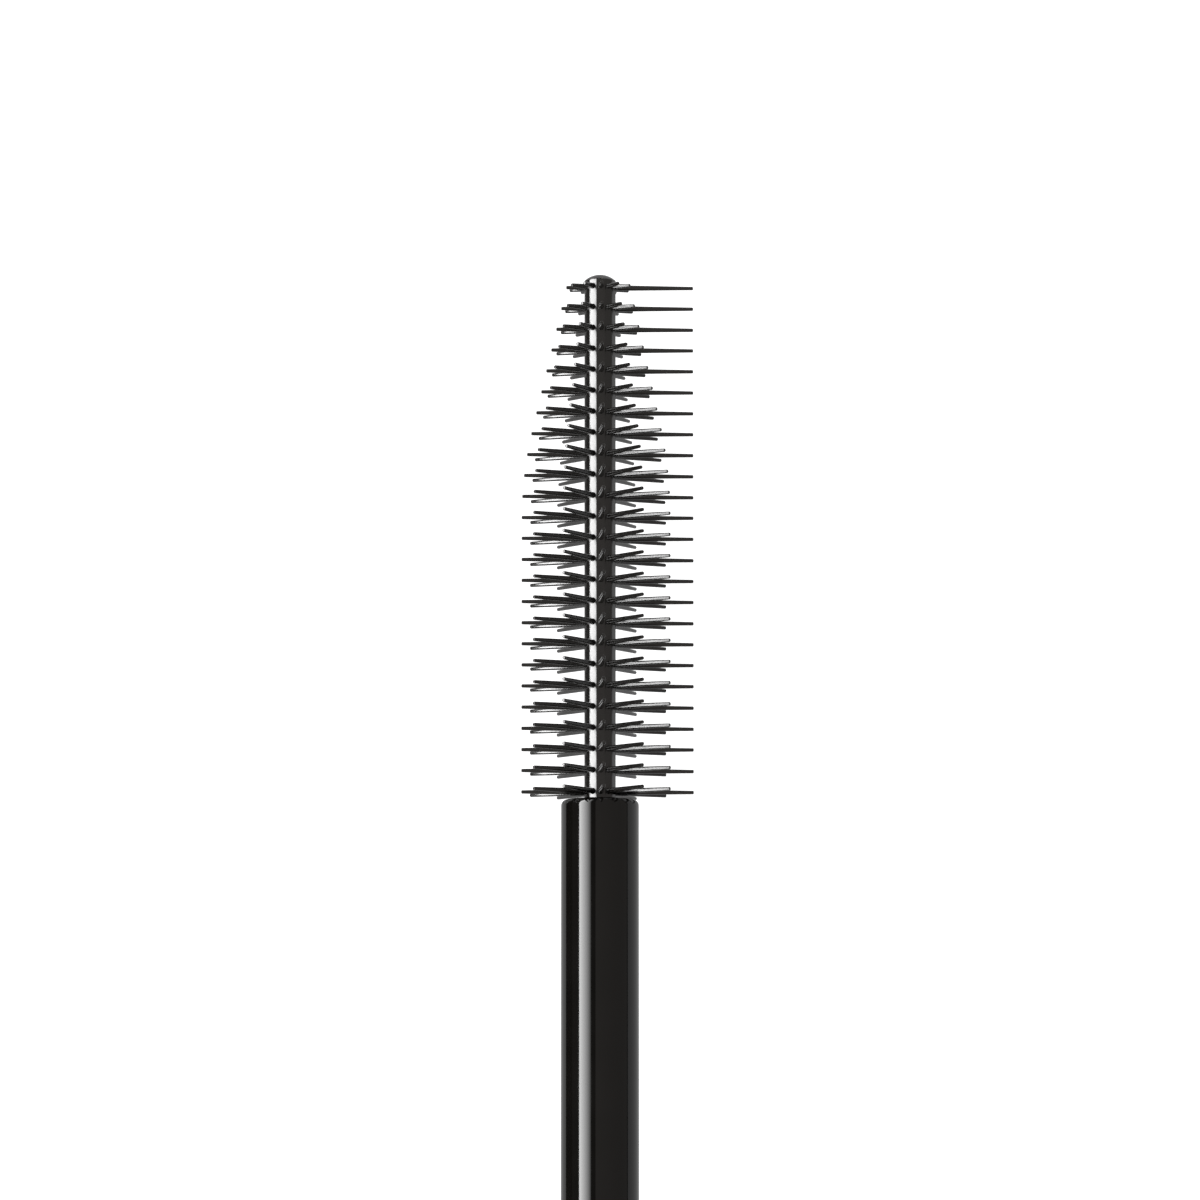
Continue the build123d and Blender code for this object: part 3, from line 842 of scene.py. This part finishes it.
# %% Brush elastomer
def brush_elastomer():
    """Satin black elastomer with a fine eroded grain."""
    material, tree, shader, place = new_finish("black brush elastomer")
    grain = noise(tree, place, per_mm=9.0, detail=2.0)
    patches = noise(tree, place, per_mm=0.8)
    colour(tree, shader, patches, dark=(0.0052, 0.0048, 0.0043), light=(0.0078, 0.0072, 0.0067))
    gloss(tree, shader, grain, low=0.13, high=0.2)
    bumps(tree, shader, grain, height_mm=0.0003)
    shader.inputs["IOR"].default_value = 1.52
    shader.inputs["Specular IOR Level"].default_value = 0.9
    return material


dress(brush, brush_elastomer())

# %% [markdown]
# Cap and sleeve are sprayed with clear-coated black lacquer.  Sprayed coats are never quite flat:
# a faint orange peel bends the long reflections, and weeks in a handbag leave hairlines round the
# barrel and dull, fingered patches between them.

# %% Lacquer
def lacquer():
    """Clear-coated black spray lacquer."""
    material, tree, shader, place = new_finish("black lacquer")
    peel = noise(tree, place, per_mm=0.9, detail=1.0)
    smudge = noise(tree, place, per_mm=0.12, detail=5.0, rough=0.6)
    hairs = noise(tree, place, per_mm=0.5, detail=2.0, stretch=(9, 0.5, 0.5))
    colour(tree, shader, smudge, dark=(0.0035, 0.0034, 0.0035), light=(0.0058, 0.0056, 0.0057))
    gloss(tree, shader, smudge, low=0.14, high=0.26)
    bumps(tree, shader, hairs, height_mm=0.0012)
    bumps(tree, shader, peel, height_mm=0.004, socket="Coat Normal")
    shader.inputs["Coat Weight"].default_value = 1.0
    shader.inputs["Coat Roughness"].default_value = 0.03
    shader.inputs["IOR"].default_value = 1.5
    return material


lacquer_finish = lacquer()
dress(cap_shell, lacquer_finish)
dress(outer_sleeve, lacquer_finish)

# %% [markdown]
# The neck, the inner cap and the foot are unpainted polypropylene.  It has a waxy, satin look, a
# shade lighter than the lacquer, and the fine spark-eroded texture of its mould.

# %% Polypropylene
def polypropylene(name, dark, light, smooth, rough):
    """Waxy moulded plastic with a spark-eroded skin, in greys from dark to light."""
    material, tree, shader, place = new_finish(name)
    skin = noise(tree, place, per_mm=9.0)
    cloud = noise(tree, place, per_mm=0.4)
    colour(tree, shader, cloud, dark=(dark,) * 3, light=(light,) * 3)
    gloss(tree, shader, skin, low=smooth, high=rough)
    bumps(tree, shader, skin, height_mm=0.003)
    shader.inputs["IOR"].default_value = 1.49
    return material


neck_black = polypropylene("black polypropylene", dark=0.014, light=0.020, smooth=0.26, rough=0.38)
foot_black = polypropylene("textured foot plastic", dark=0.010, light=0.016, smooth=0.45, rough=0.6)
dress(vial, neck_black)
dress(inner_cap, neck_black)
dress(foot_plug, foot_black)

# %% [markdown]
# Collar and inlay are anodised aluminium.  The collar is rolled and polished, with faint lines
# round it, and the disc is faced on a lathe, so its lines are rings about the axis.  Both patterns
# are the same trick: a noise that hardly changes one way and quickly the other.

# %% Aluminium
def radius_from_axis(tree, place):
    """Distance from the axis, for patterns that run round it."""
    shift = tree.nodes.new("ShaderNodeVectorMath")
    shift.operation = "SUBTRACT"
    shift.inputs[1].default_value = (0, 0, AXIS_HEIGHT)
    flatten = tree.nodes.new("ShaderNodeVectorMath")
    flatten.operation = "MULTIPLY"
    flatten.inputs[1].default_value = (0, 1, 1)
    length = tree.nodes.new("ShaderNodeVectorMath")
    length.operation = "LENGTH"
    tree.links.new(place, shift.inputs[0])
    tree.links.new(shift.outputs["Vector"], flatten.inputs[0])
    tree.links.new(flatten.outputs["Vector"], length.inputs[0])
    return length.outputs["Value"]


def aluminium(name, faced):
    """Bright anodised aluminium with turning lines, as rings on a face or lines round a band."""
    material, tree, shader, place = new_finish(name)
    pick = tree.nodes.new("ShaderNodeCombineXYZ")
    if faced:
        tree.links.new(radius_from_axis(tree, place), pick.inputs["X"])
    else:
        split = tree.nodes.new("ShaderNodeSeparateXYZ")
        tree.links.new(place, split.inputs["Vector"])
        tree.links.new(split.outputs["X"], pick.inputs["X"])
    lines = noise(tree, pick.outputs["Vector"], per_mm=7.0, detail=4.0, rough=0.7)
    film = noise(tree, place, per_mm=0.3)
    colour(tree, shader, film, dark=(0.68, 0.68, 0.69), light=(0.73, 0.73, 0.74))
    gloss(tree, shader, lines, low=0.12, high=0.32)
    bumps(tree, shader, lines, height_mm=0.003)
    shader.inputs["Metallic"].default_value = 1.0
    return material


dress(shoulder_collar, aluminium("rolled aluminium", False))
dress(cap_inlay, aluminium("faced aluminium", True))

# %% [markdown]
# The last three finishes are seldom seen.  The wiper's natural polyethylene scatters light inside,
# the washer is a white closed-cell foam with tiny pits, whose hollows carry painted shade, and the
# weight is turned steel with a dull zinc plating that is spotted like frost.

# %% Wiper, washer and weight finishes
def natural_polyethylene():
    """Milky, slightly see-into soft plastic."""
    material, tree, shader, place = new_finish("natural polyethylene")
    cloud = noise(tree, place, per_mm=0.7)
    colour(tree, shader, cloud, dark=(0.70, 0.70, 0.67), light=(0.80, 0.80, 0.77))
    gloss(tree, shader, cloud, low=0.3, high=0.42)
    bumps(tree, shader, noise(tree, place, per_mm=6.0, detail=2.0), height_mm=0.002)
    shader.inputs["Subsurface Weight"].default_value = 0.5
    shader.inputs["Subsurface Radius"].default_value = (1.0, 0.95, 0.85)
    shader.inputs["Subsurface Scale"].default_value = 0.8 * MM
    return material


def foam():
    """White closed-cell foam with fine pits, each pit painted darker as shade in its hollow."""
    material, tree, shader, place = new_finish("white liner foam")
    pits = tree.nodes.new("ShaderNodeTexVoronoi")
    pits.inputs["Scale"].default_value = 5.0 / MM
    tree.links.new(place, pits.inputs["Vector"])
    pit_depth_and_shade = spread(tree, pits.outputs["Distance"], 0.0, 1.0, from_low=0.0, from_high=0.6)
    # Painted shade: the base colour darkens towards the bottom of each pit, where its relief sinks.
    colour(tree, shader, pit_depth_and_shade, dark=(0.66, 0.66, 0.64), light=(0.83, 0.83, 0.81), low=0.0, high=0.5)
    gloss(tree, shader, pit_depth_and_shade, low=0.8, high=0.6, from_low=0.0, from_high=1.0)
    bumps(tree, shader, pit_depth_and_shade, height_mm=0.03)
    return material


def zinc():
    """Dull zinc plating over turned steel."""
    material, tree, shader, place = new_finish("zinc-plated steel")
    frost = noise(tree, place, per_mm=2.5, detail=5.0)
    turning = noise(tree, place, per_mm=1.5, stretch=(6, 0.2, 0.2))
    colour(tree, shader, frost, dark=(0.42, 0.43, 0.45), light=(0.60, 0.61, 0.63))
    gloss(tree, shader, frost, low=0.3, high=0.5)
    bumps(tree, shader, turning, height_mm=0.004)
    shader.inputs["Metallic"].default_value = 1.0
    return material


dress(wiper, natural_polyethylene())
dress(liner_washer, foam())
dress(cap_weight, zinc())

# %% [markdown]
# ## The table and the studio
# This is a plain product shot, with everything on white.  The table is a pale sheet lit until it is
# white, and it glows by itself, so that only the contact shadows under the barrels are left.  What
# black gloss shows is decided by a second set of cards, which the camera can't see.

# %% Stage helpers
def card(name, corners, tint, glow, albedo=0.0):
    """A flat stage card with its own light and, if asked, a matt surface."""
    mesh = bpy.data.meshes.new(name)
    mesh.from_pydata(corners, [], [range(len(corners))])
    made = bpy.data.objects.new(name, mesh)
    bpy.context.scene.collection.objects.link(made)
    material = bpy.data.materials.new(name)
    material.use_nodes = True
    shader = material.node_tree.nodes["Principled BSDF"]
    shader.inputs["Base Color"].default_value = (albedo, albedo, albedo, 1)
    shader.inputs["Roughness"].default_value = 0.9
    shader.inputs["Specular IOR Level"].default_value = 0.0
    shader.inputs["Emission Color"].default_value = (*tint, 1)
    shader.inputs["Emission Strength"].default_value = glow
    mesh.materials.append(material)
    print(name, "glows at", glow)
    return made


def seen_by(thing, camera, glossy, diffuse, shadow):
    """Chooses which rays meet a stage piece."""
    thing.visible_camera = camera
    thing.visible_glossy = glossy
    thing.visible_diffuse = diffuse
    thing.visible_shadow = shadow


def rectangle(x0, x1, y0, y1, z):
    """Corners of a level rectangle, in metres."""
    return [(x0, y0, z), (x1, y0, z), (x1, y1, z), (x0, y1, z)]


# %% [markdown]
# One table can't do both jobs.  White enough for the background, it would turn the undersides of the
# bristles pale, so the gloss meets a darker twin of it.  A black card beside the wand cuts a clean
# edge into that reflection, which draws the dark side of the stem.  It is cut short past the tip,
# so that the bright collar of the tube doesn't go black as well.

# %% Table, reflected table and black card
WIDE = 6.0              # half the table's side, m
BELOW = -0.0002         # just under the object's lowest points
WHITE = (1, 1, 1)
TABLE_GLOW, TABLE_ALBEDO = 0.86, 0.3
everywhere = rectangle(-WIDE, WIDE, -WIDE, WIDE, BELOW)
table = card("table", everywhere, WHITE, TABLE_GLOW, TABLE_ALBEDO)
seen_by(table, camera=True, glossy=False, diffuse=True, shadow=True)

FLOOR_GLOSS = 0.56      # how bright the table looks in the black gloss
mirror_table = card("mirror_table", everywhere, WHITE, FLOOR_GLOSS)
seen_by(mirror_table, camera=False, glossy=True, diffuse=False, shadow=False)

FLAG_EDGE = 0.0175      # axis to the black card that lies along the side away from the comb, m
FLAG_HEIGHT = 0.0004
FLAG_FROM, FLAG_TO = -0.052, 0.014      # its ends along the wand, just inside the cap and past the tip
FLAG_FLARE = 1.8        # its far corner along X, m
flag_corners = [(FLAG_FROM, FLAG_EDGE), (FLAG_TO, FLAG_EDGE), (FLAG_FLARE, WIDE), (FLAG_FROM, WIDE)]
flag = card("black_card", [(x, y, FLAG_HEIGHT) for x, y in flag_corners], (0, 0, 0), 0.0)
seen_by(flag, camera=False, glossy=True, diffuse=False, shadow=False)

# %% [markdown]
# One long strip softbox on the side away from the comb lights the wand.  Its diffuser is brighter at
# the outer edge, because the lamp sits there, and that is what makes the stripe on the stem fade
# from one side to the other.  An area light can carry that fade in its own nodes.

# %% Strip softbox
def basis(x_axis, y_axis, z_axis):
    """The turn that carries a light's or a camera's own axes onto these."""
    return Matrix((x_axis, y_axis, z_axis)).transposed().to_quaternion()


def softbox(name, centre, aim, width, length, radiance, fade):
    """A rectangular area light along X, of a known brightness that fades across its width."""
    data = bpy.data.lights.new(name, "AREA")
    data.shape = "RECTANGLE"
    data.size, data.size_y = length, width
    data.energy = radiance * pi * width * length
    made = bpy.data.objects.new(name, data)
    bpy.context.scene.collection.objects.link(made)
    made.location = centre
    out = (Vector(centre) - Vector(aim)).normalized()
    across = out.cross(Vector((1, 0, 0))).normalized()
    along = across.cross(out)
    made.rotation_mode = "QUATERNION"
    made.rotation_quaternion = basis(along, across, out)
    made.visible_camera = False
    data.use_nodes = True
    tree = data.node_tree
    where = tree.nodes.new("ShaderNodeNewGeometry").outputs["Parametric"]
    split = tree.nodes.new("ShaderNodeSeparateXYZ")
    tree.links.new(where, split.inputs["Vector"])
    strength = spread(tree, split.outputs["Y"], *fade, from_low=0.0, from_high=1.0)
    tree.links.new(strength, tree.nodes["Emission"].inputs["Strength"])
    return made


WAND = (-0.020, 0, AXIS_HEIGHT)     # the spot that the light aims at, on the tip of the stem, m
STRIP_FROM, STRIP_TO = 27, 64       # degrees from straight up, seen from the wand
STRIP_AWAY, STRIP_LENGTH = 0.45, 1.6
STRIP_RADIANCE = 15.8
STRIP_FADE = (0.05, 1.0)            # brightness at its two long edges, as shares of the full
strip_mid = radians((STRIP_FROM + STRIP_TO) / 2)
strip_width = 2 * STRIP_AWAY * tan(radians(STRIP_TO - STRIP_FROM) / 2)
strip_at = (WAND[0], STRIP_AWAY * sin(strip_mid), AXIS_HEIGHT + STRIP_AWAY * cos(strip_mid))
softbox("strip_softbox", strip_at, WAND, strip_width, STRIP_LENGTH, STRIP_RADIANCE, STRIP_FADE)
print("strip softbox", round(strip_width, 3), "m wide")

# %% [markdown]
# Over everything hangs a wide grey scrim.  It is far too dim to light the wand, but black gloss
# that reflects nothing at all looks like a hole cut in the page, and the scrim gives the stem and
# the facets of the core their soft dark grey.

# %% Overhead scrim
SCRIM_HEIGHT = 0.8
SCRIM_GLOW, SCRIM_WARMTH = 0.31, (1, 0.94, 0.89)
SCRIM_FROM, SCRIM_TO = -13, 87      # degrees from straight up, towards the comb side
scrim_edges = [-SCRIM_HEIGHT * tan(radians(degrees)) for degrees in (SCRIM_TO, SCRIM_FROM)]
overhead = rectangle(-WIDE, WIDE, *scrim_edges, SCRIM_HEIGHT)
scrim = card("overhead_scrim", overhead, SCRIM_WARMTH, SCRIM_GLOW)
seen_by(scrim, camera=False, glossy=True, diffuse=False, shadow=False)

# %% [markdown]
# The rest of the room is two worlds in one.  A camera looking past the table sees a pale backdrop,
# as bright as the far end of the table, so that no horizon shows.  Everything else, gloss above all,
# sees a dim room.  The Light Path node tells the rays apart.

# %% World
ROOM_GREY = 0.05
BACKDROP_GREY = 0.87
world = bpy.data.worlds.new("dim_studio_pale_backdrop")
bpy.context.scene.world = world
world.use_nodes = True
sky = world.node_tree
room = sky.nodes["Background"]
room.inputs["Color"].default_value = (ROOM_GREY, ROOM_GREY, ROOM_GREY, 1)
backdrop = sky.nodes.new("ShaderNodeBackground")
backdrop.inputs["Color"].default_value = (BACKDROP_GREY, BACKDROP_GREY, BACKDROP_GREY, 1)
choice = sky.nodes.new("ShaderNodeMixShader")
sky.links.new(sky.nodes.new("ShaderNodeLightPath").outputs["Is Camera Ray"], choice.inputs["Fac"])
sky.links.new(room.outputs["Background"], choice.inputs[1])
sky.links.new(backdrop.outputs["Background"], choice.inputs[2])
sky.links.new(choice.outputs["Shader"], sky.nodes["World Output"].inputs["Surface"])
print("room", ROOM_GREY, "and backdrop", BACKDROP_GREY)

# %% [markdown]
# ## The camera
# The camera looks down from almost straight above, with a long lens, and leans a little towards the
# cap so that the near bristles rise above the far ones.  The tip of the brush is at the top of the
# view, and the stem runs out at the bottom.

# %% Camera
AIM_BEHIND_TIP = 16.97  # brush tip to the middle of the view, mm
CAMERA_AWAY = 0.350     # m
LEAN_DEG = 6.8
VIEW_WIDTH = 0.06186    # what the view takes in at the wand, m
SENSOR = 36             # mm
aim = Vector(on_axis(brush_end - AIM_BEHIND_TIP, 0, 0))
lean = radians(LEAN_DEG)
camera_data = bpy.data.cameras.new("camera")
camera_data.sensor_width = SENSOR
camera_data.lens = SENSOR * CAMERA_AWAY / VIEW_WIDTH
camera = bpy.data.objects.new("camera", camera_data)
bpy.context.scene.collection.objects.link(camera)
out = Vector((-sin(lean), 0, cos(lean)))
up = Vector((cos(lean), 0, sin(lean)))
camera.location = aim + out * CAMERA_AWAY
camera.rotation_mode = "QUATERNION"
camera.rotation_quaternion = basis(up.cross(out), up, out)
camera_data.clip_start, camera_data.clip_end = 0.01, 50
bpy.context.scene.camera = camera
bpy.context.scene.view_settings.view_transform = "Standard"
print("lens", round(camera_data.lens, 1), "mm")
